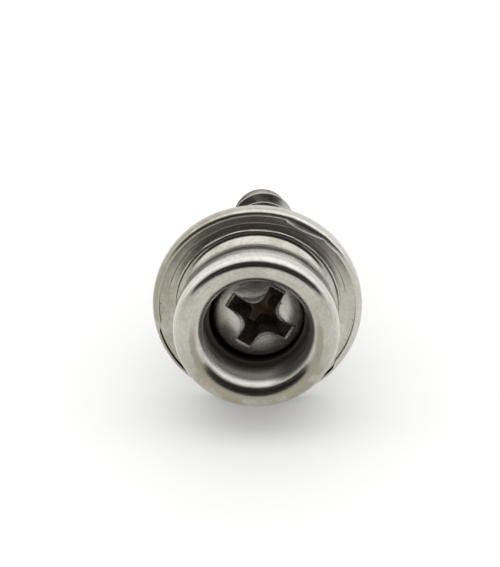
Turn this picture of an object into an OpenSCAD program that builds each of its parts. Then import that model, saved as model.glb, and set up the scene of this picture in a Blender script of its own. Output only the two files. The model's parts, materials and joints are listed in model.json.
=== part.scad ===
// Screw stud of a snap fastener, in millimetres.
// A drawn stud shell has its flange crimped into a base cup, and a tapping screw goes in through the shell.
// The stud lies as it comes to rest, on the base cup's rim and the screw's last full thread.
// Each piece is drawn on its own axis, seat face at z = 0 and bead towards +z, and then laid down.

/* [Stud shell] */
// diameter of the bead that the socket snaps over
bead_d = 10; // [9.8:0.1:11]
// length of the straight land round the bead
bead_land = 0.6; // [0.3:0.02:0.9]
// rounding of the bead on its front side
front_round = 0.74; // [0.66:0.02:0.9]
// rounding of the bead on its back side
rear_round = 0.4; // [0.4:0.05:0.65]
// rounding from the bead's front into the bore
flare_round = 1.05; // [0.95:0.01:1.1]
// depth of the groove behind the bead
undercut = 0.82; // [0.7:0.02:0.9]
// height of the groove, from the flange to the bead
groove_h = 2.54; // [2.3:0.02:3]
// hollow rounding at the foot of the groove
foot_round = 0.56; // [0.4:0.02:0.7]
// angle that the foot's rounding turns through
foot_turn = 42; // [35:1:50]
// wider hollow rounding from there up the groove
neck_round = 1.55; // [1.3:0.05:1.8]
// thickness of the drawn sheet
sheet_t = 0.4; // [0.3:0.02:0.44]
// depth of the bore from the bead's front to its floor ring
bore_depth = 2.46; // [2.2:0.02:2.6]
// diameter of the hole in the floor ring
floor_hole_d = 5.8; // [5.78:0.02:6.1]
// height of the two drawing marks round the flange
mark_h = 0.05; // [0.03:0.01:0.08]
// place of the outer drawing mark, as a share of the way from the inner one to the flange's edge
mark_place = 0.44; // [0.3:0.02:0.6]

/* [Base cup] */
// outside diameter of the crimped rim
base_d = 12.84; // [12.6:0.02:13.6]
// thickness of the cup's floor
floor_t = 0.36; // [0.3:0.02:0.5]
// thickness of the cup's wall
wall_t = 0.25; // [0.22:0.01:0.28]
// thickness of the crimped lip over the flange
lip_t = 0.22; // [0.2:0.01:0.3]
// how far the lip covers the flange
lip_cover = 0.14; // [0.1:0.02:0.3]
// rounding of the rim's front corner
rim_round = 0.4; // [0.3:0.02:0.42]
// rounding of the rim's back corner
back_round = 0.25; // [0.15:0.01:0.3]
// diameter of the hole for the screw
base_hole_d = 4.6; // [4.56:0.02:5]
// slope of the flats that the crimping tool left on the rim
flat_slope = 30; // [20:1:45]
// depth of the flat on the rim that the stud lies on
rest_flat = 0.08; // [0.04:0.01:0.12]
// gap between the crimped sheets
seam_gap = 0.02; // [0.01:0.01:0.03]

/* [Screw] */
// diameter of the head
head_d = 5.56; // [5.2:0.02:5.58]
// height of the head at its crown
head_h = 2.26; // [2.1:0.02:2.4]
// rounding of the head's top edge
head_round = 0.55; // [0.3:0.05:0.6]
// radius of the head's domed crown
crown_r = 5.4; // [5:0.1:8]
// gap between the head and the cup's floor
head_gap = 0.04; // [0.02:0.01:0.08]
// how far the loose screw sits to the right of the stud's axis
screw_shift = 0.1; // [0:0.01:0.1]
// span of the cross recess at the height of the crown's middle
recess_span = 4.9; // [4.4:0.05:5]
// width of a wing of the recess
wing_w = 1; // [0.8:0.05:1.1]
// rounding of the lobes between the wings
lobe_round = 0.62; // [0.4:0.02:0.8]
// depth of the recess
recess_depth = 1.9; // [1.5:0.1:2]
// turn of the recess, clockwise from the top
recess_turn = 31; // [0:1:89]
// outside diameter of the thread
thread_d = 4.17; // [3.9:0.01:4.25]
// diameter at the root of the thread
root_d = 2.95; // [2.7:0.05:3.2]
// pitch of the thread
pitch = 1.7; // [1.4:0.05:2]
// length of the screw under its head
screw_len = 19; // [16:0.5:25]
// length of the pointed end
point_len = 4.2; // [3:0.1:5]
// diameter of the plain shank under the head
shank_d = 4.32; // [4.22:0.02:4.36]
// length of the plain shank under the head
shank_len = 0.9; // [0.8:0.05:1.5]
// turn of the thread about its axis
thread_turn = 168; // [0:1:359]

/* [Hidden] */
$fn = 128;
eps = 1;
steel = [0.73, 0.72, 0.69];
screw_steel = [0.7, 0.68, 0.64];

// flats on the rim: middle and half width of each, in degrees clockwise from the top
rim_flats = [[29.8, 12.2], [47.8, 5.8], [141, 9], [226, 10], [245, 9.5]];
flat_block = 3;
// the outer drawing mark is lower than the inner one
outer_mark_share = 0.6;

// heights along the axis, from the seat face
flange_z = floor_t + seam_gap;
flange_top = flange_z + sheet_t;
lip_z = flange_top + seam_gap;
rim_h = lip_z + lip_t;
foot_z = flange_top + foot_round;
neck_z = foot_z + (neck_round - foot_round) * cos(foot_turn);
bead_z = flange_top + groove_h;
rear_z = bead_z + rear_round;
front_z = rear_z + bead_land;
face_z = front_z + front_round;
flare_z = face_z - flare_round;
ring_z = face_z - bore_depth;
head_z = floor_t + head_gap;
crown_z = head_z + head_h;

// radii
bead_r = bead_d / 2;
waist_r = bead_r - undercut;
rear_r = bead_r - rear_round;
ridge_r = bead_r - front_round;
bore_r = ridge_r - flare_round;
neck_r = waist_r + neck_round;
foot_r = neck_r - (neck_round - foot_round) * sin(foot_turn);
floor_hole_r = floor_hole_d / 2;
base_r = base_d / 2;
flange_r = base_r - wall_t - seam_gap;
lip_r = flange_r - lip_cover;
rim_round_r = base_r - rim_round;
rim_round_z = rim_h - rim_round;
head_r = head_d / 2;
edge_r = head_r - head_round;
edge_rise = sqrt(pow(crown_r - head_round, 2) - pow(edge_r, 2));
edge_z = crown_z - crown_r + edge_rise;
root_r = root_d / 2;
thread_r = thread_d / 2;

// screw lengths
tip_z = head_z - screw_len;
point_z = tip_z + point_len;
thread_z = head_z - shank_len;
tip_scale = 0.08;
recess_scale = 0.45;
steps_per_turn = 20;

// share of one pitch taken by a flank and by the crest, and steps on each
flank_share = 0.19;
crest_share = 0.07;
flank_steps = 3;
root_steps = 11;

// turn and size of the thread's section at a height: it shrinks towards the tip
function section_turn(z) = thread_turn + 360 * (z - point_z) / pitch;
function section_size(z) = min(1, tip_scale + (1 - tip_scale) * (z - tip_z) / point_len);

// heights of the thread's crests along its under side, near the start of the point
crest_turn = 360 * (flank_share + crest_share / 2) + thread_turn;
crest_z = point_z + pitch * (270 - crest_turn) / 360;
low_crests = [for (i = [-3:3]) crest_z + pitch * i];

// how far the stud tips before a crest at a height touches the floor, with the rim's flat on the floor
function crest_tilt(z) =
    let (drop = base_r - back_round - thread_r * section_size(z), run = back_round - z)
    atan2(drop, run) + asin((back_round - rest_flat) / norm([drop, run]));

// the stud rests on the rim's flat and on the crest that touches first
rest_tilt = min([for (z = low_crests) if (z > tip_z && z < thread_z) crest_tilt(z)]);
rest_z = (base_r - back_round) * cos(rest_tilt) + back_round - rest_flat - back_round * sin(rest_tilt);
reach_front = front_z * cos(rest_tilt) + ridge_r * sin(rest_tilt) + front_round;
reach_back = -tip_z * cos(rest_tilt) + tip_scale * root_r * sin(rest_tilt);
rest_y = (reach_front - reach_back) / 2;

module lay() {
    translate([0, rest_y, rest_z])
        rotate([90 - rest_tilt, 0, 0])
            children();
}

// rectangle of a section, between two radii and two heights
module band(r_in, r_out, z_low, z_high) {
    translate([r_in, z_low])
        square([r_out - r_in, z_high - z_low]);
}

// bend in the sheet round a centre, from one angle to another
module bend(r, z, round_in, round_out, from, to) {
    far = 2 * round_out;
    translate([r, z])
        intersection() {
            difference() {
                circle(r = round_out);
                if (round_in > 0) circle(r = round_in);
            }
            polygon([[0, 0], [far * cos(from), far * sin(from)], [far * cos(to), far * sin(to)]]);
        }
}

// the flange, with the two low ridges that the drawing die left round it
module flange_band() {
    mark_r = foot_r + mark_h;
    outer_mark_r = mark_r + mark_place * (flange_r - mark_r);
    outer_mark_h = mark_h * outer_mark_share;
    polygon([
        [foot_r, flange_z],
        [flange_r, flange_z],
        [flange_r, flange_top],
        [outer_mark_r + outer_mark_h, flange_top],
        [outer_mark_r, flange_top + outer_mark_h],
        [outer_mark_r - outer_mark_h, flange_top],
        [mark_r + mark_h, flange_top],
        [mark_r, flange_top + mark_h],
        [foot_r, flange_top]]);
}

module shell_section() {
    flange_band();
    bend(foot_r, foot_z, foot_round, foot_round + sheet_t, 270 - foot_turn, 270);
    bend(neck_r, neck_z, neck_round, neck_round + sheet_t, 180, 270 - foot_turn);
    band(waist_r - sheet_t, waist_r, neck_z, bead_z + sheet_t);
    band(waist_r - sheet_t, rear_r, bead_z, bead_z + sheet_t);
    bend(rear_r, rear_z, rear_round - sheet_t, rear_round, 270, 360);
    band(bead_r - sheet_t, bead_r, rear_z, front_z);
    bend(ridge_r, front_z, front_round - sheet_t, front_round, 0, 90);
    bend(ridge_r, flare_z, flare_round - sheet_t, flare_round, 90, 180);
    band(bore_r, bore_r + sheet_t, ring_z, flare_z);
    bend(bore_r, ring_z, 0, sheet_t, 270, 360);
    band(floor_hole_r, bore_r, ring_z - sheet_t, ring_z);
}

module stud_shell() {
    color(steel)
        lay()
            rotate_extrude()
                shell_section();
}

module cup_section() {
    difference() {
        union() {
            band(0, base_r - back_round, 0, back_round);
            band(0, base_r, back_round, rim_round_z);
            band(0, rim_round_r, rim_round_z, rim_h);
            translate([rim_round_r, rim_round_z])
                circle(r = rim_round);
            translate([base_r - back_round, back_round])
                circle(r = back_round);
        }
        band(0, flange_r + seam_gap, floor_t, lip_z);
        band(0, lip_r, floor_t, rim_h + eps);
        band(0, base_hole_d / 2, -eps, rim_h);
    }
}

// one flat of the crimping tool, as deep as its half width needs
module rim_flat(middle, half) {
    depth = rim_round_r * sin(flat_slope) * (1 - cos(half));
    reach = rim_round - depth;
    rotate([0, 0, -middle])
        translate([0, rim_round_r + reach * sin(flat_slope), rim_round_z + reach * cos(flat_slope)])
            rotate([-flat_slope, 0, 0])
                translate([-flat_block / 2, -flat_block / 2, 0])
                    cube(flat_block);
}

// block under the floor, which cuts the flat that the rim lies on
module floor_block() {
    translate([-base_d, -base_d, -base_d])
        cube([2 * base_d, 2 * base_d, base_d]);
}

module base_cup() {
    color(steel)
        difference() {
            lay()
                rotate_extrude()
                    cup_section();
            lay()
                for (flat = rim_flats) rim_flat(flat[0], flat[1]);
            floor_block();
        }
}

// half of the head: side, rounded edge, and the crown inside the line from its centre through the edge's centre
module head_section() {
    intersection() {
        union() {
            band(0, head_r, head_z, edge_z);
            translate([edge_r, edge_z])
                circle(r = head_round);
            translate([0, crown_z - crown_r])
                intersection() {
                    circle(r = crown_r);
                    polygon([[0, 0], [2 * edge_r, 2 * edge_rise], [0, 2 * edge_rise]]);
                }
        }
        band(0, head_r, head_z, crown_z);
    }
}

// corner of the head left standing between two wings
module lobe() {
    translate([wing_w / 2 + lobe_round, wing_w / 2 + lobe_round]) {
        circle(r = lobe_round, $fn = 32);
        translate([0, -lobe_round])
            square([recess_span, recess_span]);
        translate([-lobe_round, 0])
            square([recess_span, recess_span]);
    }
}

module recess() {
    translate([0, 0, crown_z])
        rotate([180, 0, recess_turn])
            linear_extrude(recess_depth, scale = recess_scale)
                difference() {
                    square(recess_span, center = true);
                    for (quarter = [0:3]) rotate(90 * quarter) lobe();
                }
}

// radius of the thread at a share of one turn: flank up, crest, flank down, root
function thread_radius(share) =
    let (rise = share / flank_share, fall = (2 * flank_share + crest_share - share) / flank_share)
    root_r + (thread_r - root_r) * max(0, min(1, rise, fall));

thread_shares = concat(
    [for (i = [0:flank_steps]) flank_share * i / flank_steps],
    [for (i = [0:flank_steps]) flank_share * (1 + i / flank_steps) + crest_share],
    [for (i = [1:root_steps]) let (start = 2 * flank_share + crest_share)
        start + (1 - start) * i / (root_steps + 1)]);

// heights of the sections, from the tip to the shank
section_count = ceil(steps_per_turn * (thread_z - tip_z) / pitch);
section_heights = [for (i = [0:section_count]) tip_z + (thread_z - tip_z) * i / section_count];

// ring of points round one section
function section_ring(z) = [for (share = thread_shares)
    let (r = thread_radius(share) * section_size(z), a = 360 * share + section_turn(z))
    [r * cos(a), r * sin(a), z]];

// the two triangles between neighbouring points of two rings
function ring_faces(ring, i) =
    let (n = len(thread_shares), next = (i + 1) % n, low = ring * n, high = low + n)
    [[low + i, high + i, high + next], [low + i, high + next, low + next]];

module threaded_end() {
    n = len(thread_shares);
    points = [for (z = section_heights) each section_ring(z)];
    sides = [for (ring = [0:section_count - 1], i = [0:n - 1]) each ring_faces(ring, i)];
    tip_face = [for (i = [0:n - 1]) i];
    top_face = [for (i = [n - 1:-1:0]) section_count * n + i];
    polyhedron(points, concat(sides, [tip_face, top_face]));
}

module screw() {
    color(screw_steel)
        lay()
            translate([screw_shift, 0, 0]) {
                difference() {
                    union() {
                        rotate_extrude()
                            head_section();
                        translate([0, 0, thread_z])
                            cylinder(d = shank_d, h = shank_len);
                    }
                    recess();
                }
                threaded_end();
            }
}

stud_shell();
base_cup();
screw();
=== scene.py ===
import json
import math

import bpy
import numpy as np
from mathutils import Matrix, Vector


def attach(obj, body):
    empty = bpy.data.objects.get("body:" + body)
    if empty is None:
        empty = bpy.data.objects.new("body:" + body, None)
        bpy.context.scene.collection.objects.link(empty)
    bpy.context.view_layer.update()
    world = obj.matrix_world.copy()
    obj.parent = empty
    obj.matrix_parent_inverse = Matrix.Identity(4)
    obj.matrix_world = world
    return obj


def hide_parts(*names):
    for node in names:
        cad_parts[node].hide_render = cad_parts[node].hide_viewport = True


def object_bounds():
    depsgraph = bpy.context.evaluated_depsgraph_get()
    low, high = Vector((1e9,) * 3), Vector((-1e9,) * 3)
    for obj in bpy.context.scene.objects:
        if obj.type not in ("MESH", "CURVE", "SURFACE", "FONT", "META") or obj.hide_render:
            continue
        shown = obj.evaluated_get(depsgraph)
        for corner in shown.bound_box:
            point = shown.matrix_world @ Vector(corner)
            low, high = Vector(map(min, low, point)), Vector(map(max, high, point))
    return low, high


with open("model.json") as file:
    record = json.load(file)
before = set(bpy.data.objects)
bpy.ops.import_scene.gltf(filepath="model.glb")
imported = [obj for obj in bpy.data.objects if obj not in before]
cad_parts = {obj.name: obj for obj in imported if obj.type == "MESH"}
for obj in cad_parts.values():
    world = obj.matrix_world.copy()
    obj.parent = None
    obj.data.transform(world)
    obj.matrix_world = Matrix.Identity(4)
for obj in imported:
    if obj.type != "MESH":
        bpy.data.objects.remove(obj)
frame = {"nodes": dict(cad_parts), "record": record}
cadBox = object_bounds()
print("frame loaded:", sorted(frame["nodes"]))

# the stud's own axes, taken from the joint that the screw turns on
spin = frame["record"]["behaviour"]["joints"][0]
mm = 0.001
hair = 0.01                                        # mm, slack for points that lie right on a limit
screwShift = spin["pos_m"][0] / mm                 # the loose screw sits a little to the right
seatPoint = np.array([0.0, *spin["pos_m"][1:]])    # middle of the seat face
front = np.array(spin["axis"])                     # along the axis, towards the bead
across = np.array([1.0, 0.0, 0.0])
upward = np.cross(front, across)


# a point (x right, y up, z along the axis, in mm) goes to
# the seat point + x across + y upward + z front
def layDown(points):
    return seatPoint + mm * (points @ np.array([across, upward, front]))


# points on a circle round (r, z), from one angle in degrees to another
def arcPoints(r, z, radius, start, end, steps):
    turn = np.radians(np.linspace(start, end, steps + 1))
    return np.column_stack([r + radius * np.cos(turn), z + radius * np.sin(turn)])


# points along a straight stretch of an outline
def linePoints(startPoint, endPoint, steps=1):
    share = np.linspace(0, 1, steps + 1)[:, None]
    return np.array(startPoint) * (1 - share) + np.array(endPoint) * share


# the stretches of an outline one after the other, with points that fall together kept once
def joinOutline(stretches, closed):
    points = np.vstack(stretches)
    step = np.linalg.norm(points - np.roll(points, 1, axis=0), axis=1)
    keep = step > 1e-6
    if not closed:
        keep[0] = True
    return points[keep]


# distance along an outline at each of its points
def outlineLength(outline):
    step = np.linalg.norm(np.diff(outline, axis=0), axis=1)
    return np.concatenate([[0.0], np.cumsum(step)])


# the outline (r, z) goes round the axis: x = r sin a, y = r cos a, with a clockwise from the top
def turnedGrid(outline, count):
    turn = np.linspace(0, 2 * np.pi, count, endpoint=False)[None, :]
    r = outline[:, :1]
    z = outline[:, 1:] + 0 * turn
    return np.stack([r * np.sin(turn), r * np.cos(turn), z], axis=-1)


# angle of each point round the axis, clockwise from the top
def turnOf(grid):
    return np.arctan2(grid[..., 0], grid[..., 1])


# distance of each point from the axis
def radiusOf(grid):
    return np.hypot(grid[..., 0], grid[..., 1])


# four-cornered faces between neighbouring rows and columns; the columns close on themselves
def gridFaces(rows, columns, closedRows):
    index = np.arange(rows * columns).reshape(rows, columns)
    low = index if closedRows else index[:-1]
    high = np.roll(index, -1, axis=0) if closedRows else index[1:]
    corners = [low, high, np.roll(high, -1, axis=1), np.roll(low, -1, axis=1)]
    return np.stack(corners, axis=-1).reshape(-1, 4)


# three-cornered faces from one ring of a grid to a point on the axis
def poleFaces(ring, pole, flip):
    after = np.roll(ring, -1)
    first, second = (after, ring) if flip else (ring, after)
    return np.stack([first, second, np.full_like(ring, pole)], axis=-1)


# soft step from 0 to 1 between two values
def softStep(value, low, high):
    share = np.clip((value - low) / (high - low), 0, 1)
    return share * share * (3 - 2 * share)


# the measure for turned streaks: the direction round the axis, and the distance along the outline
def turningMeasure(grid, along):
    r = np.maximum(radiusOf(grid), 1e-6)
    length = np.broadcast_to(along[:, None], r.shape)
    return np.stack([grid[..., 0] / r, grid[..., 1] / r, length], axis=-1)


# a mesh object from points in the stud's own axes, with the measures that its finish follows
def makePiece(name, points, faces, turning, measures, sharpAngle):
    mesh = bpy.data.meshes.new(name)
    mesh.from_pydata(layDown(points).tolist(), [], faces)
    mesh.update()
    mesh.polygons.foreach_set("use_smooth", np.ones(len(mesh.polygons), dtype=bool))
    mesh.set_sharp_from_angle(angle=math.radians(sharpAngle))
    turned = mesh.attributes.new("turning", "FLOAT_VECTOR", "POINT")
    turned.data.foreach_set("vector", turning.astype(np.float32).ravel())
    for measure, values in measures.items():
        attribute = mesh.attributes.new(measure, "FLOAT", "POINT")
        attribute.data.foreach_set("value", values.astype(np.float32).ravel())
    piece = bpy.data.objects.new(name, mesh)
    bpy.context.scene.collection.objects.link(piece)
    return piece


# a piece that is turned all the way round, from its grid and the outline that it came from
def makeTurned(name, grid, outline, measures, sharpAngle):
    rows, columns = grid.shape[:2]
    measures = {key: np.broadcast_to(values, (rows, columns)) for key, values in measures.items()}
    faces = gridFaces(rows, columns, True)
    turning = turningMeasure(grid, outlineLength(outline))
    return makePiece(name, grid.reshape(-1, 3), faces.tolist(), turning, measures, sharpAngle)


# stud shell: one drawn sheet, from the flange up the groove, over the bead and into the bore
shell = {
    # form, in mm and degrees
    "beadRadius": 5.0, "frontRound": 0.74, "rearRound": 0.4, "land": 0.66,
    "flareRound": 1.12, "flareTurn": 62, "throatRound": 0.5, "waistRadius": 4.1,
    "grooveHeight": 2.48, "footRound": 0.4, "footTurn": 45, "neckRound": 1.85,
    "flangeRadius": 6.15, "flangeBack": 0.38, "sheet": 0.4, "boreDepth": 2.46,
    "holeRadius": 2.9, "holeEdge": 0.08, "wobble": 0.012, "around": 288, "sharpAngle": 35,
    "markHeight": 0.06, "markPlace": 0.44, "outerMarkShare": 0.6, "lowMark": 0.08,
    # brown tarnish, with painted shade in the same brown on the front's lower side, and browner
    # towards the left on the flange
    "frontTarnish": 1.05, "lowerTarnishAndShade": 1.0, "mouthTarnish": 1.5, "boreTarnish": 0.1,
    "flangeTarnish": 1.4, "leftDarkening": 0.3,
    "mouthRadius": 3.74, "mouthDrop": 0.36, "mouthReach": 0.3,
    # painted shade and dull steel
    "lowBorePaintedShade": 0.75, "wallPaintedShade": 0.85, "wallTurn": 110, "behindBeadPaintedShade": 0.38, "cornerPaintedShade": 0.45,
    "boreDull": 0.6, "mouthDull": 1.1,
}


# hollow foot of the groove: a tight arc up from the flange,
# then a wider one that touches it and ends on the groove
def footCurve(flangeTop):
    s = shell
    turn = math.radians(s["footTurn"])
    step = s["neckRound"] - s["footRound"]
    neckRadius = s["waistRadius"] + s["neckRound"]
    footRadius = neckRadius - step * math.sin(turn)
    footZ = flangeTop + s["footRound"]
    neckZ = footZ + step * math.cos(turn)
    return np.vstack([
        arcPoints(footRadius, footZ, s["footRound"], 270, 270 - s["footTurn"], 12),
        arcPoints(neckRadius, neckZ, s["neckRound"], 270 - s["footTurn"], 180, 24)[1:],
    ])


# the same stretch of sheet from its back: each point moves along the normal by the sheet
def backOf(outline):
    along = np.gradient(outline, axis=0)
    along /= np.linalg.norm(along, axis=1)[:, None]
    return outline - shell["sheet"] * np.column_stack([along[:, 1], -along[:, 0]])


# low ridge: one wave of a cosine across it, with flat sheet close by on both sides
def markPoints(r, z, height):
    share = np.linspace(-1, 1, 11)
    wave = 0.5 + 0.5 * np.cos(math.pi * share)
    ridge = np.column_stack([r - 1.2 * height * share, z + height * wave])
    beside = 1.5 * height
    return np.vstack([[(r + beside, z)], ridge, [(r - beside, z)]])


# outline of the sheet: first the side that is seen, then its hidden back
def shellOutline():
    s = shell
    sheet = s["sheet"]
    flangeTop = s["flangeBack"] + sheet
    foot = footCurve(flangeTop)
    beadBack = flangeTop + s["grooveHeight"]
    rearZ = beadBack + s["rearRound"]
    frontZ = rearZ + s["land"]
    faceZ = frontZ + s["frontRound"]
    flareZ = faceZ - s["flareRound"]
    flareEnd = 90 + s["flareTurn"]
    throatTurn = math.radians(s["flareTurn"])
    ridgeRadius = s["beadRadius"] - s["frontRound"]
    rearRadius = s["beadRadius"] - s["rearRound"]
    throatRadius = ridgeRadius - (s["flareRound"] - s["throatRound"]) * math.sin(throatTurn)
    throatZ = flareZ + (s["flareRound"] - s["throatRound"]) * math.cos(throatTurn)
    boreRadius = throatRadius - s["throatRound"]
    ringZ = faceZ - s["boreDepth"]
    mark = s["markHeight"]
    markRadius = foot[0, 0] + 1.6 * mark
    outerMarkRadius = markRadius + s["markPlace"] * (s["flangeRadius"] - markRadius)
    edge = s["holeEdge"]
    innerBead = s["beadRadius"] - sheet
    innerBack = beadBack + sheet
    seen = [
        linePoints((s["flangeRadius"], s["flangeBack"]), (s["flangeRadius"], flangeTop)),
        markPoints(outerMarkRadius, flangeTop, mark * s["outerMarkShare"]),
        markPoints(markRadius, flangeTop, mark),
        foot,
        linePoints(foot[-1], (s["waistRadius"], beadBack), 4),
        linePoints((s["waistRadius"], beadBack), (rearRadius, beadBack), 2),
        arcPoints(rearRadius, rearZ, s["rearRound"], 270, 360, 14),
        linePoints((s["beadRadius"], rearZ), (s["beadRadius"], frontZ), 4),
        arcPoints(ridgeRadius, frontZ, s["frontRound"], 0, 90, 26),
        arcPoints(ridgeRadius, flareZ, s["flareRound"], 90, flareEnd, 26),
        arcPoints(throatRadius, throatZ, s["throatRound"], flareEnd, 180, 10),
        linePoints((boreRadius, throatZ), (boreRadius, ringZ), 12),
        linePoints((boreRadius, ringZ), (s["holeRadius"] + edge, ringZ), 2),
        arcPoints(s["holeRadius"] + edge, ringZ - edge, edge, 90, 180, 5),
        linePoints((s["holeRadius"], ringZ - edge), (s["holeRadius"], ringZ - sheet), 2),
    ]
    hidden = [
        arcPoints(boreRadius, ringZ, sheet, 270, 360, 8),
        arcPoints(throatRadius, throatZ, s["throatRound"] - sheet, 180, flareEnd, 4),
        arcPoints(ridgeRadius, flareZ, s["flareRound"] - sheet, flareEnd, 90, 10),
        arcPoints(ridgeRadius, frontZ, s["frontRound"] - sheet, 90, 0, 10),
        linePoints((innerBead, frontZ), (innerBead, innerBack), 2),
        linePoints((rearRadius, innerBack), (s["waistRadius"] - sheet, innerBack)),
        backOf(foot)[::-1],
    ]
    place = {
        "seen": len(joinOutline(seen, False)), "flangeTop": flangeTop, "footRadius": foot[0, 0],
        "beadBack": beadBack, "faceZ": faceZ, "ringZ": ringZ,
        "ridgeRadius": ridgeRadius, "boreRadius": boreRadius,
    }
    return joinOutline(seen + hidden, True), place


# height of the flange's marks round the axis: 1 + two waves, low at the sides and below
def markWave(turn):
    wave = 0.3 * np.sin(3 * turn + 1.6) + 0.3 * np.sin(11 * turn + 0.9)
    low = shell["lowMark"]
    return (1 + wave) * (low + (1 - low) * softStep(np.cos(turn), 0.1, 0.7))


# stains and painted shade of the shell: soft patches that fade with the radius, the height and the
# turn
def shellStainsAndShade(r, z, turn, place):
    s = shell
    top = np.cos(turn)                             # 1 at the top, -1 at the bottom
    below = softStep(-top, -0.3, 1.0)
    ringZ, boreRadius, beadBack = place["ringZ"], place["boreRadius"], place["beadBack"]
    inBore = softStep(place["ridgeRadius"] - r, 0.62, 0.98) * (z > ringZ - 0.5)
    # tarnish on the bead's front, round the bore's mouth and on the flange; more on the front's
    # lower side, partly tarnish and partly painted shade, the reflection of the shadowed floor
    frontRing = softStep(z, place["faceZ"] - 0.5, place["faceZ"] - 0.05)
    frontRing = frontRing * (s["frontTarnish"] + s["lowerTarnishAndShade"] * below)
    fromMouth = np.abs(r - s["mouthRadius"] - s["mouthDrop"] * below)
    mouth = softStep(s["mouthReach"] - fromMouth, 0, 0.25) * (z > ringZ + 1)
    mouth = mouth * softStep(0.6 - top, 0, 0.8)
    lowDown = 1 - softStep(z, 0.9, 1.8)
    tarnish = frontRing + s["mouthTarnish"] * mouth + s["boreTarnish"] * inBore
    # tarnish on the flange, browner towards the left
    tarnish = tarnish + (s["flangeTarnish"] - s["leftDarkening"] * np.sin(turn)) * lowDown
    # painted shade behind the bead, low in the bore and on its upper and right walls,
    # in the flange's corner, in the gap round the screw's head and inside the sheet
    behindBead = softStep(z, beadBack - 0.5, beadBack) * softStep(beadBack + 0.32 - z, 0, 0.2)
    behindBead = behindBead * (r > boreRadius + 0.5)
    lowInBore = softStep(ringZ + 1.2 - z, 0, 1.2) * (r < boreRadius + 0.05)
    overHead = softStep(ringZ + 1.7 - z, 0, 0.5) * (r < boreRadius + 0.1)
    overHead = overHead * softStep(top, 0.0, 0.6)
    # painted shade on the bore's right wall
    rightWall = softStep(boreRadius + 0.36 - r, 0, 0.2) * (z > ringZ + 0.3)
    rightWall = rightWall * softStep(np.cos(turn - math.radians(s["wallTurn"])), 0.5, 0.85)
    lowInBore = np.maximum(lowInBore, s["wallPaintedShade"] * np.maximum(overHead, rightWall))
    inCorner = softStep(r, s["flangeRadius"] - 0.75, s["flangeRadius"] - 0.3)
    inCorner = inCorner * softStep(top, 0.2, 0.6)
    inGap = (z < ringZ - 0.04) & (r < boreRadius)
    inSheet = np.arange(len(r))[:, None] >= place["seen"]
    paintedShade = np.maximum(s["cornerPaintedShade"] * inCorner, s["lowBorePaintedShade"] * lowInBore)
    paintedShade = np.maximum(paintedShade, s["behindBeadPaintedShade"] * behindBead)
    paintedShade = np.where(inGap | inSheet, 1.0, paintedShade)
    # the bore is dull, and the lower side of its mouth the dullest
    lowerMouth = softStep(z, 3.6, 4.6) * softStep(-top, 0, 0.7)
    dull = inBore * (s["boreDull"] + s["mouthDull"] * lowerMouth)
    return {"tarnish": tarnish, "dull": dull, "paintedShade": paintedShade}


# the outline is turned round the axis, then made a little uneven, as drawn sheet is
def buildShell():
    outline, place = shellOutline()
    grid = turnedGrid(outline, shell["around"])
    turn = turnOf(grid)
    r, z = outline[:, :1], outline[:, 1:]
    # out of round: a slow wave of the height round the axis, nothing at the flange
    slowWave = 0.6 * np.sin(2 * turn + 0.8) + 0.3 * np.sin(5 * turn + 2.0)
    grid[..., 2] += shell["wobble"] * softStep(z, 1.0, 4.0) * slowWave
    # the two marks rise and fall round the flange, and their tops are painted bright: a painted
    # highlight
    rise = z - place["flangeTop"]
    onMark = (r > place["footRadius"]) & (rise > 0) & (rise < 2 * shell["markHeight"])
    grid[..., 2] += onMark * rise * (markWave(turn) - 1)
    measures = shellStainsAndShade(r, z, turn, place)
    measures["wearAndHighlight"] = onMark * softStep(rise, 0, shell["markHeight"]) * markWave(turn)
    return makeTurned("studShell", grid, outline, measures, shell["sharpAngle"])


# base cup: shallow cup whose wall is rolled over the shell's flange, with the flats of the rolling
cup = {
    # form, in mm and degrees
    "radius": 6.42, "backRound": 0.25, "rimRound": 0.4, "height": 1.02, "floor": 0.36,
    "pocketRadius": 6.17, "lipRadius": 6.01, "lipUnder": 0.8, "lipEdge": 0.06,
    "holeRadius": 2.3, "around": 360, "sharpAngle": 11,
    "flats": ((29.8, 12.2), (47.8, 5.8)),          # middle and half width of each
    "outsideShare": 0.3, "lipShare": 1.45, "flatLift": 0.03, "liftFrom": 0.05,
    "foldStep": 0.13, "foldStart": 17.6, "foldEnd": 42.0,
    "lowerEdges": ((136, 8), (239.5, 19)),         # middle and half width of each
    "narrowLip": 0.2, "narrowBeyond": 2, "narrowFade": 6.0,
    # stains, painted shade and a painted highlight
    "tarnish": 0.85, "leftDarkening": 1.7, "insideTarnish": 0.3, "leftTurn": -75,
    "edgePaintedShade": 0.85, "lipHighlight": 0.3,
}


# outline of the cup: under the floor, up the wall, over the rim to the lip, and back inside
def cupOutline():
    c = cup
    backRadius = c["radius"] - c["backRound"]
    rimRadius = c["radius"] - c["rimRound"]
    rimZ = c["height"] - c["rimRound"]
    edge = c["lipEdge"]
    return joinOutline([
        linePoints((c["holeRadius"], 0), (backRadius, 0), 10),
        arcPoints(backRadius, c["backRound"], c["backRound"], 270, 360, 10),
        arcPoints(rimRadius, rimZ, c["rimRound"], 0, 90, 24),
        arcPoints(c["lipRadius"] + edge, c["height"] - edge, edge, 90, 180, 9),
        linePoints((c["lipRadius"], c["height"] - edge), (c["lipRadius"], c["lipUnder"]), 2),
        linePoints((c["pocketRadius"], c["lipUnder"]), (c["pocketRadius"], c["floor"]), 2),
        linePoints((c["pocketRadius"], c["floor"]), (c["holeRadius"], c["floor"]), 10),
    ], True)


# share of the way in from the rim's outside to the lip's edge
def inwardShare(grid):
    share = (cup["radius"] - radiusOf(grid)) / (cup["radius"] - cup["lipRadius"])
    return np.clip(share, 0, 1)


# the points of the rolled lip, down to its underside
def onLip(grid):
    return grid[..., 2] > cup["lipUnder"] - hair


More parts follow.
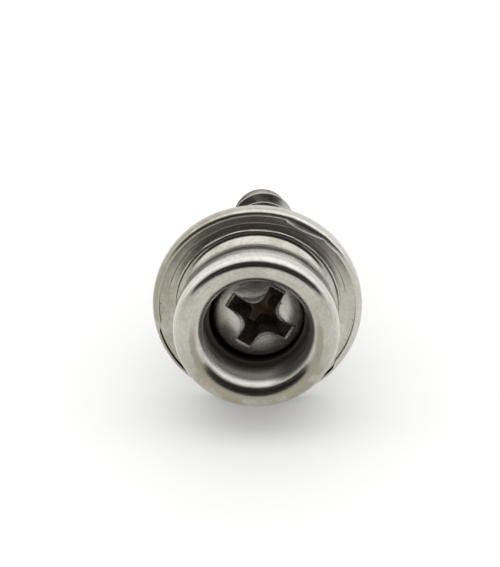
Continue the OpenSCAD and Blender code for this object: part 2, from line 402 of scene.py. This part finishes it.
# between two kinks the rolled edge runs straight: it moves in from the circle to the chord,
# little at the rim's outside and most at the lip, which is also pressed up a little
def pressFlat(grid, middle, half):
    turn = turnOf(grid) - math.radians(middle)
    turn = np.arctan2(np.sin(turn), np.cos(turn))
    reach = math.radians(half)
    chord = np.clip(1 - math.cos(reach) / np.cos(np.clip(turn, -reach, reach)), 0, None)
    inwards = inwardShare(grid)
    share = cup["outsideShare"] + (cup["lipShare"] - cup["outsideShare"]) * inwards
    share *= softStep(grid[..., 2], cup["backRound"], cup["height"] - cup["rimRound"])
    share *= onLip(grid) | (inwards < 0.5)         # the hidden pocket stays round
    pressed = grid.copy()
    pressed[..., :2] *= (1 - chord * share)[..., None]
    onTop = grid[..., 2] > cup["lipUnder"] + cup["liftFrom"]
    pressed[..., 2] += cup["flatLift"] * inwards * onTop * chord / (1 - math.cos(reach))
    return pressed


# a fold of the lip starts with a step at one kink and dies away towards the next
def foldLip(grid):
    turn = np.degrees(turnOf(grid))
    left = np.clip((cup["foldEnd"] - turn) / (cup["foldEnd"] - cup["foldStart"]), 0, 1)
    step = left * (turn > cup["foldStart"] - hair) * inwardShare(grid) ** 2 * onLip(grid)
    folded = grid.copy()
    folded[..., :2] *= (1 - cup["foldStep"] * step / radiusOf(grid))[..., None]
    return folded


# the lip is narrower along two stretches of its lower side: its edge moves out there
def narrowLip(grid, middle, half):
    turn = (np.degrees(turnOf(grid)) - middle + 180) % 360 - 180
    ends = softStep(half + cup["narrowBeyond"] - np.abs(turn), 0, cup["narrowFade"])
    outwards = cup["narrowLip"] * inwardShare(grid) * ends * onLip(grid)
    moved = grid.copy()
    moved[..., :2] *= (1 + outwards / radiusOf(grid))[..., None]
    return moved


# the rim is worn flat where it lies on the floor: what would be below moves straight up to it
def pressFloor(grid):
    straightUp = np.array([across[2], upward[2], front[2]])
    height = seatPoint[2] / mm + grid @ straightUp
    return grid - np.minimum(height, 0)[..., None] * straightUp


# the cup: brown all over and browner towards the left, painted shade inside it and in two dark
# lines along the lower edge, and the lip's edge painted bright: a painted highlight
def cupStainsShadeAndHighlight(r, z, turn):
    c = cup
    inside = softStep(c["lipRadius"] + 0.12 - r, 0, 0.1)
    inCup = (r < c["pocketRadius"] + hair) & (z > c["floor"] - hair) & (z < c["lipUnder"] + hair)
    # painted shade in the hidden pocket, and in two dark lines along the lower edge
    paintedShade = inCup + 0 * turn
    onEdge = softStep(r, c["radius"] - 0.13, c["radius"] - 0.05)
    onEdge = onEdge * (z > c["height"] - c["rimRound"] - 0.2)
    for middle, half in c["lowerEdges"]:
        darkLine = softStep(half - 2 - np.abs(turn - middle), 0, 3.0)
        paintedShade = np.maximum(paintedShade, c["edgePaintedShade"] * onEdge * darkLine)
    # browner towards the left
    leftSide = softStep(np.cos(np.radians(turn - c["leftTurn"])), 0.2, 0.9)
    # the lip's edge painted bright: a painted highlight
    lipEdge = softStep(0.1 - np.abs(r - c["lipRadius"] - 0.03), 0, 0.1) * (z > c["height"] - 0.1)
    tarnish = c["tarnish"] + c["leftDarkening"] * leftSide + c["insideTarnish"] * inside
    return {"tarnish": tarnish, "dull": inside, "paintedShade": paintedShade, "wearAndHighlight": c["lipHighlight"] * lipEdge}


# the outline is turned round the axis, then its lip is pressed, folded and narrowed
def buildCup():
    outline = cupOutline()
    grid = turnedGrid(outline, cup["around"])
    for middle, half in cup["flats"]:
        grid = pressFlat(grid, middle, half)
    grid = foldLip(grid)
    for middle, half in cup["lowerEdges"]:
        grid = narrowLip(grid, middle, half)
    grid = pressFloor(grid)
    measures = cupStainsShadeAndHighlight(outline[:, :1], outline[:, 1:], np.degrees(turnOf(grid)) % 360)
    return makeTurned("baseCup", grid, outline, measures, cup["sharpAngle"])


# tapping screw: low round head with a cross recess, plain shank, coarse thread out to a point
screw = {
    # head and recess, in mm and degrees
    "headRadius": 2.78, "headBack": 0.4, "crownZ": 2.6, "headRound": 0.32, "crownRadius": 7.5,
    "backEdge": 0.06, "recessSpan": 4.1, "wingWidth": 0.95, "wingCorner": 0.06, "lobeRound": 0.8,
    "recessFloor": 0.76, "recessScale": 0.5, "recessTurn": 31, "recessShift": 0.1,
    "burr": 0.1, "burrSteps": ((0.2, 0.4), (0.6, 0.8), (1.1, 0.3)), "wallSteps": 12,
    # shank and thread
    "shankRadius": 2.16, "shankLength": 0.9, "threadRadius": 2.085, "rootRadius": 1.475,
    "pitch": 1.7, "length": 19.0, "pointLength": 4.2, "tipScale": 0.08, "tipReach": 0.05,
    "threadTurn": 168, "flankShare": 0.19, "crestShare": 0.07, "flankHollow": 0.2,
    "stepsPerTurn": 48, "sharpAngle": 32,
    # looks of the stretches: tarnish, dull, painted shade, and wear with painted highlight
    # the bare look paints the recess's edge and burr bright: a painted highlight, partly rubbed
    # wear
    "edgeHighlightLook": (0, 0, 0, 1), "crownLook": (0.2, 1, 0, 0),
    # the first pole, on the recess's floor, gets dark painted shade
    "poleLooks": ((1, 1, 0.9, 0), (0.5, 0, 0, 0), (0.3, 0, 0, 0), (0.3, 0, 0, 0)),
}


# one quarter of the recess: half a wing's end, its side, and the round lobe up to the next wing;
# each corner (x, y) is then turned by every quarter and by the recess's own turn, clockwise
def recessOutline():
    half = screw["recessSpan"] / 2
    wing = screw["wingWidth"] / 2
    lobe = wing + screw["lobeRound"]
    corner = screw["wingCorner"]
    quarter = joinOutline([
        linePoints((half, 0), (half, wing - corner), 6),
        arcPoints(half - corner, wing - corner, corner, 0, 90, 4),
        linePoints((half - corner, wing), (lobe, wing), 14),
        arcPoints(lobe, lobe, screw["lobeRound"], 270, 180, 18),
        linePoints((wing, lobe), (wing, half - corner), 14),
        arcPoints(wing - corner, half - corner, corner, 0, 90, 4),
        linePoints((wing - corner, half), (0, half), 6),
    ], False)[:-1]
    x, y = quarter[::-1, 0], quarter[::-1, 1]
    turn = (-math.radians(screw["recessTurn"]) - np.arange(4) * math.pi / 2)[:, None]
    turnedX = x * np.cos(turn) - y * np.sin(turn)
    turnedY = x * np.sin(turn) + y * np.cos(turn)
    # it is punched a little off the middle
    return np.column_stack([turnedX.ravel() + screw["recessShift"], turnedY.ravel()])


# height of the crown at a distance from the axis: a large ball's cap
def crownHeight(r):
    big = screw["crownRadius"]
    return screw["crownZ"] - big + np.sqrt(big * big - r * r)


# the head is a grid from the recess's floor up its wall, over the edge, across the crown
# and down the side to the shank's end
def headGrid():
    s = screw
    rim = recessOutline()
    reach = np.linalg.norm(rim, axis=1)
    heading = rim / reach[:, None]
    rows, looks, along = [], [], []

    def addRow(flat, z, look, length):
        rows.append(np.column_stack([flat, np.broadcast_to(z, len(flat))]))
        looks.append(look)
        along.append(length)

    # a row of the wall lies a share of the way down, and narrows towards the floor
    def addWall(share, look, length):
        height = crownHeight(reach) * (1 - share) + s["recessFloor"] * share
        addRow(rim * (1 - (1 - s["recessScale"]) * share), height, look, length)

    # the recess's wall: tarnish, with painted shade that grows towards its floor
    for share in np.linspace(1, 0.04, s["wallSteps"]):
        addWall(share, (1, 1, 0.1 + 0.5 * share, 0), 2 * share)
    # the recess's top edge and its burr are painted bright: a painted highlight
    addWall(0.03, s["edgeHighlightLook"], 0.05)
    for out, lift in s["burrSteps"]:               # edge with a small burr
        flat = heading * (reach + out * s["burr"])[:, None]
        addRow(flat, crownHeight(reach) + lift * s["burr"], s["edgeHighlightLook"], 0.0)
    # the edge's rounding touches the crown and the side
    roundRadius = s["headRadius"] - s["headRound"]
    roundRise = math.sqrt((s["crownRadius"] - s["headRound"]) ** 2 - roundRadius ** 2)
    roundZ = s["crownZ"] - s["crownRadius"] + roundRise
    roundStart = math.degrees(math.atan2(roundRise, roundRadius))
    edgeArc = arcPoints(roundRadius, roundZ, s["headRound"], roundStart, 0, 12)
    start = reach + s["burr"]
    for share in np.linspace(0.12, 1, 8):          # crown, from the recess out to the rounding
        r = start + (edgeArc[0, 0] - start) * share
        addRow(heading * r[:, None], crownHeight(r), s["crownLook"], 0.1 + share)
    shankEnd = s["headBack"] - s["shankLength"]
    outer = joinOutline([
        edgeArc,
        linePoints((s["headRadius"], roundZ), (s["headRadius"], s["headBack"] + s["backEdge"]), 4),
        linePoints((s["headRadius"] - s["backEdge"], s["headBack"]),
                   (s["shankRadius"], s["headBack"]), 3),
        linePoints((s["shankRadius"], s["headBack"]), (s["shankRadius"], shankEnd), 3),
    ], False)[1:]
    # the side gets painted shade below the edge's rounding, where it lies in the dark gap
    for r, z in outer:                             # the side lies in the dark gap
        inGap = float(softStep(roundZ + 0.04 - z, 0, 0.1) * (z > s["headBack"] - 0.1))
        addRow(heading * r, z, (0.4, 1, inGap, 0), 1.2 + abs(roundZ - z))
    return np.array(rows), np.array(looks), np.array(along)


# radius of the thread at a share of one turn: flank up, crest, flank down, root;
# the flanks are a little hollow towards the root
def threadRadius(share):
    s = screw
    rise = share / s["flankShare"]
    fall = (2 * s["flankShare"] + s["crestShare"] - share) / s["flankShare"]
    lift = np.clip(np.minimum(rise, fall), 0, 1)
    lift = (1 - s["flankHollow"]) * lift + s["flankHollow"] * lift ** 2
    return s["rootRadius"] + (s["threadRadius"] - s["rootRadius"]) * lift


# the thread is one section carried down the axis:
# it turns once each pitch and shrinks towards the tip
def threadGrid():
    s = screw
    tipZ = s["headBack"] - s["length"]
    pointZ = tipZ + s["pointLength"]
    topZ = s["headBack"] - s["shankLength"]
    count = int(math.ceil(s["stepsPerTurn"] * (topZ - tipZ) / s["pitch"]))
    z = np.linspace(topZ, tipZ, count)[:, None]
    crestStart = s["flankShare"]
    crestEnd = crestStart + s["crestShare"]
    rootStart = 2 * s["flankShare"] + s["crestShare"]
    share = np.concatenate([
        np.linspace(0, crestStart, 7)[:-1],
        np.linspace(crestStart, crestEnd, 4)[:-1],
        np.linspace(crestEnd, rootStart, 7)[:-1],
        np.linspace(rootStart, 1, 18)[:-1],
    ])[None, ::-1]
    size = np.minimum(1, s["tipScale"] + (1 - s["tipScale"]) * (z - tipZ) / s["pointLength"])
    turn = 2 * np.pi * share + math.radians(s["threadTurn"]) + 2 * np.pi * (z - pointZ) / s["pitch"]
    r = threadRadius(share) * size
    grid = np.stack([r * np.cos(turn), r * np.sin(turn), z + 0 * turn], axis=-1)
    crest = softStep(threadRadius(share), s["rootRadius"], s["threadRadius"]) + 0 * z
    return grid, crest


# head and thread are two grids, each closed at both ends by a point on the axis
def buildScrew():
    head, headLooks, along = headGrid()
    thread, crest = threadGrid()
    headRows, headColumns = head.shape[:2]
    threadRows, threadColumns = thread.shape[:2]
    headCount = headRows * headColumns
    threadCount = threadRows * threadColumns
    poles = np.array([
        [0, 0, head[0, 0, 2]],                             # floor of the recess
        [0, 0, head[-1, 0, 2]],                            # end of the shank
        [0, 0, thread[0, 0, 2]],                           # start of the thread
        [0, 0, thread[-1, 0, 2] - screw["tipReach"]],      # tip
    ])
    firstPole = headCount + threadCount
    headIndex = np.arange(headCount).reshape(headRows, headColumns)
    threadIndex = headCount + np.arange(threadCount).reshape(threadRows, threadColumns)
    # both grids run the other way round than the turned pieces, so their faces are turned over
    faces = gridFaces(headRows, headColumns, False)[:, ::-1].tolist()
    faces += (gridFaces(threadRows, threadColumns, False) + headCount)[:, ::-1].tolist()
    rings = (headIndex[0], headIndex[-1], threadIndex[0], threadIndex[-1])
    for number, ring in enumerate(rings):
        faces += poleFaces(ring, firstPole + number, number % 2 == 0).tolist()
    points = np.vstack([head.reshape(-1, 3), thread.reshape(-1, 3), poles]) + (screwShift, 0, 0)
    turning = np.vstack([
        turningMeasure(head, along).reshape(-1, 3),
        turningMeasure(thread, thread[:, 0, 2]).reshape(-1, 3),
        np.zeros((len(poles), 3)),
    ])
    threadLooks = np.stack([0.45 - 0.1 * crest, 0 * crest, 0 * crest, 0.1 * crest], axis=-1)
    looks = np.vstack([
        np.repeat(headLooks, headColumns, axis=0),
        threadLooks.reshape(-1, 4),
        screw["poleLooks"],
    ])
    measures = dict(zip(("tarnish", "dull", "paintedShade", "wearAndHighlight"), looks.T))
    return makePiece("tappingScrew", points, faces, turning, measures, screw["sharpAngle"])


# a new node with its plain settings and its unlinked inputs
def addNode(tree, kind, settings=None, inputs=None):
    node = tree.nodes.new(kind)
    for name, value in (settings or {}).items():
        setattr(node, name, value)
    for name, value in (inputs or {}).items():
        node.inputs[name].default_value = value
    return node


# a measure that is kept on the piece's points
def readMeasure(tree, name, output="Fac"):
    return addNode(tree, "ShaderNodeAttribute", {"attribute_name": name}).outputs[output]


# noise on a stretched measure, with its contrast drawn out between two levels
def spreadNoise(tree, vector, scale, detail, low, high):
    mapping = addNode(tree, "ShaderNodeMapping", None, {"Scale": scale})
    noise = addNode(tree, "ShaderNodeTexNoise", None,
                    {"Scale": 1.0, "Detail": detail, "Roughness": 0.6})
    spread = addNode(tree, "ShaderNodeMapRange", {"interpolation_type": "SMOOTHSTEP"},
                     {"From Min": low, "From Max": high})
    tree.links.new(vector, mapping.inputs["Vector"])
    tree.links.new(mapping.outputs["Vector"], noise.inputs["Vector"])
    tree.links.new(noise.outputs["Fac"], spread.inputs["Value"])
    return spread.outputs["Result"]


# one value from two: multiply, add or the like
def mathNode(tree, operation, first, second=0.0):
    node = addNode(tree, "ShaderNodeMath", {"operation": operation})
    for socket, value in zip(node.inputs, (first, second)):
        if isinstance(value, (int, float)):
            socket.default_value = value
        else:
            tree.links.new(value, socket)
    return node.outputs[0]


# a value drawn out: value x gain + level
def drawnOut(tree, value, gain, level):
    return mathNode(tree, "ADD", mathNode(tree, "MULTIPLY", value, gain), level)


# one colour from two, each a fixed colour or the output of a node
def mixColour(tree, factor, first, second):
    node = addNode(tree, "ShaderNodeMix", {"data_type": "RGBA"})
    tree.links.new(factor, node.inputs["Factor"])
    for socket, value in ((node.inputs[6], first), (node.inputs[7], second)):
        if isinstance(value, tuple):
            socket.default_value = (*value, 1.0)
        else:
            tree.links.new(value, socket)
    return node.outputs[2]


# worn stainless steel, what all three finishes share
steel = {
    "blotchScale": (700.0, 700.0, 700.0), "grainScale": (5200.0, 5200.0, 5200.0),
    "speckScale": (3100.0, 3100.0, 3100.0), "speckColour": (0.06, 0.05, 0.04),
    "evenTarnish": 0.55, "evenWear": 0.4, "grainHeight": 0.5, "bumpDistance": 2e-6, "wearDry": 0.5,
}


# streaks round the axis, blotches of brown tarnish that partly carry painted shade, fine grain,
# small dark specks, rubbed edges with painted highlights and dark painted shade; painted shade and
# dull steel are less metallic
def wornSteel(name, finish):
    material = bpy.data.materials.new(name)
    material.use_nodes = True
    tree = material.node_tree
    shader = tree.nodes["Principled BSDF"]
    turning = readMeasure(tree, "turning", "Vector")
    tarnishAndShade, dulled, paintedShadeShare, rubbedAndHighlit = (
        readMeasure(tree, measure) for measure in ("tarnish", "dull", "paintedShade", "wearAndHighlight"))
    place = addNode(tree, "ShaderNodeTexCoord").outputs["Object"]
    streaks = spreadNoise(tree, turning, finish["streakScale"], 5.0, 0.3, 0.7)
    blotches = spreadNoise(tree, place, steel["blotchScale"], 6.0, 0.35, 0.68)
    grain = spreadNoise(tree, place, steel["grainScale"], 3.0, 0.3, 0.7)
    specks = spreadNoise(tree, place, steel["speckScale"], 2.0, 0.70, 0.76)
    # colour: streaked steel, then brown, specks, rubbed edges with painted highlights and painted
    # shade over it
    patchy = drawnOut(tree, blotches, 1 - steel["evenTarnish"], steel["evenTarnish"])
    brownAndShade = mathNode(tree, "MULTIPLY", tarnishAndShade, patchy)
    brownAndShade = mathNode(tree, "MULTIPLY", brownAndShade, finish["tarnishAmount"])
    brownAndShade = mathNode(tree, "ADD", brownAndShade, mathNode(tree, "MULTIPLY", grain, finish["grain"]))
    brownAndShade = mathNode(tree, "MINIMUM", brownAndShade, 1.0)
    colour = mixColour(tree, streaks, finish["darkSteel"], finish["brightSteel"])
    colour = mixColour(tree, brownAndShade, colour, finish["tarnish"])
    specked = mathNode(tree, "MULTIPLY", specks, finish["speckAmount"])
    colour = mixColour(tree, specked, colour, steel["speckColour"])
    # rubbed edges and painted highlights in the rubbed colour
    patchy = drawnOut(tree, blotches, 1 - steel["evenWear"], steel["evenWear"])
    rubbedAndHighlit = mathNode(tree, "MULTIPLY", rubbedAndHighlit, patchy)
    colour = mixColour(tree, rubbedAndHighlit, colour, finish["rubbedAndHighlight"])
    clear = mathNode(tree, "SUBTRACT", 1.0, paintedShadeShare)
    clear = mathNode(tree, "MULTIPLY", clear, clear)       # a little painted shade hides a lot
    colour = mixColour(tree, mathNode(tree, "SUBTRACT", 1.0, clear), colour, finish["paintedShade"])
    tree.links.new(colour, shader.inputs["Base Color"])
    rough = drawnOut(tree, streaks, finish["roughSpread"], finish["roughness"])
    rough = mathNode(tree, "ADD", rough, mathNode(tree, "MULTIPLY", dulled, finish["dullness"]))
    tree.links.new(rough, shader.inputs["Roughness"])
    height = mathNode(tree, "MULTIPLY", grain, steel["grainHeight"])
    height = mathNode(tree, "ADD", streaks, height)
    bump = addNode(tree, "ShaderNodeBump", None,
                   {"Strength": finish["bump"], "Distance": steel["bumpDistance"]})
    tree.links.new(height, bump.inputs["Height"])
    tree.links.new(bump.outputs["Normal"], shader.inputs["Normal"])
    dry = mathNode(tree, "MULTIPLY", dulled, finish["dryness"])
    dry = mathNode(tree, "MAXIMUM", paintedShadeShare, dry)
    dry = mathNode(tree, "MAXIMUM", dry, mathNode(tree, "MULTIPLY", rubbedAndHighlit, steel["wearDry"]))
    tree.links.new(mathNode(tree, "SUBTRACT", 1.0, dry), shader.inputs["Metallic"])
    shader.inputs["Specular IOR Level"].default_value = 0.0
    return material


shellFinish = {
    "brightSteel": (0.74, 0.73, 0.685), "darkSteel": (0.54, 0.53, 0.49),
    "tarnish": (0.32, 0.295, 0.235), "rubbedAndHighlight": (0.84, 0.83, 0.80), "paintedShade": (0.02, 0.016, 0.011),
    "streakScale": (0.9, 0.9, 16.0), "roughness": 0.13, "roughSpread": 0.1, "bump": 0.5,
    "tarnishAmount": 0.55, "speckAmount": 0.5, "dullness": 0.08, "dryness": 0.2, "grain": 0.2,
}
cupFinish = {
    "brightSteel": (0.76, 0.755, 0.70), "darkSteel": (0.58, 0.575, 0.525),
    "tarnish": (0.34, 0.32, 0.255), "rubbedAndHighlight": (0.84, 0.83, 0.80), "paintedShade": (0.02, 0.016, 0.011),
    "streakScale": (1.4, 1.4, 12.0), "roughness": 0.16, "roughSpread": 0.10, "bump": 0.45,
    "tarnishAmount": 0.5, "speckAmount": 0.5, "dullness": 0.1, "dryness": 0.0, "grain": 0.2,
}
screwFinish = {
    "brightSteel": (0.66, 0.64, 0.58), "darkSteel": (0.56, 0.54, 0.48),
    "tarnish": (0.075, 0.050, 0.025), "rubbedAndHighlight": (0.84, 0.82, 0.78), "paintedShade": (0.036, 0.023, 0.010),
    "streakScale": (2.4, 2.4, 5.0), "roughness": 0.17, "roughSpread": 0.12, "bump": 0.5,
    "tarnishAmount": 0.95, "speckAmount": 0.9, "dullness": 0.02, "dryness": 0.12, "grain": 0.12,
}

pieces = (
    (buildShell, "stud_shell", "stud", "shell_steel", shellFinish),
    (buildCup, "base_cup", "stud", "cup_steel", cupFinish),
    (buildScrew, "screw", "screw_body", "screw_steel", screwFinish),
)
for build, node, body, slotName, finish in pieces:
    piece = build()
    piece.data.materials.append(wornSteel(slotName, finish))
    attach(piece, body)
    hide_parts(node)
    print("built", piece.name, len(piece.data.polygons), "faces")

# floor: a pale table
floor = {"half": 0.6, "colour": (0.93, 0.93, 0.925), "roughness": 0.7, "shine": 0.1}


# one square face at the height that the stud lies on
def buildFloor():
    half, z = floor["half"], cadBox[0][2]
    corners = [(-half, -half, z), (half, -half, z), (half, half, z), (-half, half, z)]
    mesh = bpy.data.meshes.new("table")
    mesh.from_pydata(corners, [], [(0, 1, 2, 3)])
    table = bpy.data.objects.new("table", mesh)
    bpy.context.scene.collection.objects.link(table)
    material = bpy.data.materials.new("paleTable")
    material.use_nodes = True
    shader = material.node_tree.nodes["Principled BSDF"]
    shader.inputs["Base Color"].default_value = (*floor["colour"], 1.0)
    shader.inputs["Roughness"].default_value = floor["roughness"]
    shader.inputs["Specular IOR Level"].default_value = floor["shine"]
    mesh.materials.append(material)


buildFloor()
print("floor laid")

# studio: pale walls all round, a bright ceiling panel, and a dark screen round the camera
studio = {
    # light from the front horizon (0) over the ceiling (0.5) to the back horizon (1)
    "stops": ((0.0, 0.85), (0.36, 0.9), (0.43, 1.6), (0.62, 1.6), (0.70, 1.1), (1.0, 1.05)),
    "screenRise": 40.0, "screenHeight": 28.0, "screenWidth": 58.0, "screenEdge": 0.1,
    "screenShade": 0.03, "screenShare": 0.35, "pale": 1.0,
}


# the world's light: the stops by the rise of a direction, with the screen, a soft oval, taken out
def buildStudio():
    world = bpy.data.worlds.new("studio")
    bpy.context.scene.world = world
    world.use_nodes = True
    tree = world.node_tree
    background = tree.nodes["Background"]
    heading = addNode(tree, "ShaderNodeTexCoord").outputs["Generated"]
    direction = addNode(tree, "ShaderNodeSeparateXYZ")
    tree.links.new(heading, direction.inputs["Vector"])
    x, y, z = direction.outputs
    # rise: 0 at the front horizon, a quarter turn overhead, half a turn at the back horizon
    rise = mathNode(tree, "ARCTAN2", z, mathNode(tree, "MULTIPLY", y, -1.0))
    side = mathNode(tree, "ARCSINE", x)
    ramp = addNode(tree, "ShaderNodeValToRGB")
    stops = ramp.color_ramp.elements
    for place, _ in studio["stops"][2:]:
        stops.new(place)
    for stop, (place, level) in zip(stops, studio["stops"]):
        stop.position = place
        stop.color = (level, level, level, 1.0)
    tree.links.new(mathNode(tree, "DIVIDE", rise, math.pi), ramp.inputs["Fac"])
    up = mathNode(tree, "SUBTRACT", rise, math.radians(studio["screenRise"]))
    up = mathNode(tree, "DIVIDE", up, math.radians(studio["screenHeight"]))
    out = mathNode(tree, "DIVIDE", side, math.radians(studio["screenWidth"]))
    out = mathNode(tree, "MULTIPLY", out, out)
    reach = mathNode(tree, "SQRT", mathNode(tree, "ADD", mathNode(tree, "MULTIPLY", up, up), out))
    screen = addNode(tree, "ShaderNodeMapRange", {"interpolation_type": "SMOOTHSTEP"}, {
        "From Min": 1 - studio["screenEdge"], "From Max": 1 + studio["screenEdge"],
        "To Min": studio["screenShade"], "To Max": 1.0})
    tree.links.new(reach, screen.inputs["Value"])
    # the pale background is what the camera, metal and glass see
    rays = addNode(tree, "ShaderNodeLightPath").outputs
    mirrored = mathNode(tree, "MAXIMUM", rays["Is Glossy Ray"], rays["Is Transmission Ray"])
    seen = mathNode(tree, "MAXIMUM", rays["Is Camera Ray"], mirrored)
    seen = mathNode(tree, "MULTIPLY", seen, studio["pale"])
    lit = mathNode(tree, "MAXIMUM", ramp.outputs["Color"], seen)
    # the screen counts in full in reflections, by a share in the soft light on the floor,
    # and not for the camera
    weight = mathNode(tree, "MAXIMUM", mirrored, studio["screenShare"])
    unseen = mathNode(tree, "SUBTRACT", 1.0, rays["Is Camera Ray"])
    weight = mathNode(tree, "MULTIPLY", weight, unseen)
    shade = mathNode(tree, "SUBTRACT", 1.0, screen.outputs["Result"])
    shade = mathNode(tree, "SUBTRACT", 1.0, mathNode(tree, "MULTIPLY", weight, shade))
    tree.links.new(mathNode(tree, "MULTIPLY", lit, shade), background.inputs["Color"])


buildStudio()
bpy.context.scene.view_settings.view_transform = "Standard"
print("studio lit")

# camera: where the photograph was taken from
viewpoint = {
    "target": (-0.000456, -0.005576, 0.007174), "distance": 0.13,
    "rise": 39.284, "swing": 1.53, "roll": -0.823, "lens": 134.33,
}


# it stands back from the target along the rise and the swing, and rolls about its own line of sight
def buildCamera():
    rise, swing, roll = (math.radians(viewpoint[name]) for name in ("rise", "swing", "roll"))
    flat = math.cos(rise)
    back = Vector((math.sin(swing) * flat, -math.cos(swing) * flat, math.sin(rise)))
    level = Vector((0, 0, 1)).cross(back).normalized()
    steep = back.cross(level)
    right = level * math.cos(roll) + steep * math.sin(roll)
    top = back.cross(right)
    data = bpy.data.cameras.new("camera")
    data.sensor_fit = "AUTO"
    data.sensor_width = 36.0
    data.lens = viewpoint["lens"]
    data.clip_start = 0.005
    data.clip_end = 10.0
    camera = bpy.data.objects.new("camera", data)
    bpy.context.scene.collection.objects.link(camera)
    camera.matrix_world = Matrix((right, top, back)).transposed().to_4x4()
    camera.location = Vector(viewpoint["target"]) + back * viewpoint["distance"]
    bpy.context.scene.camera = camera


buildCamera()
print("camera placed")
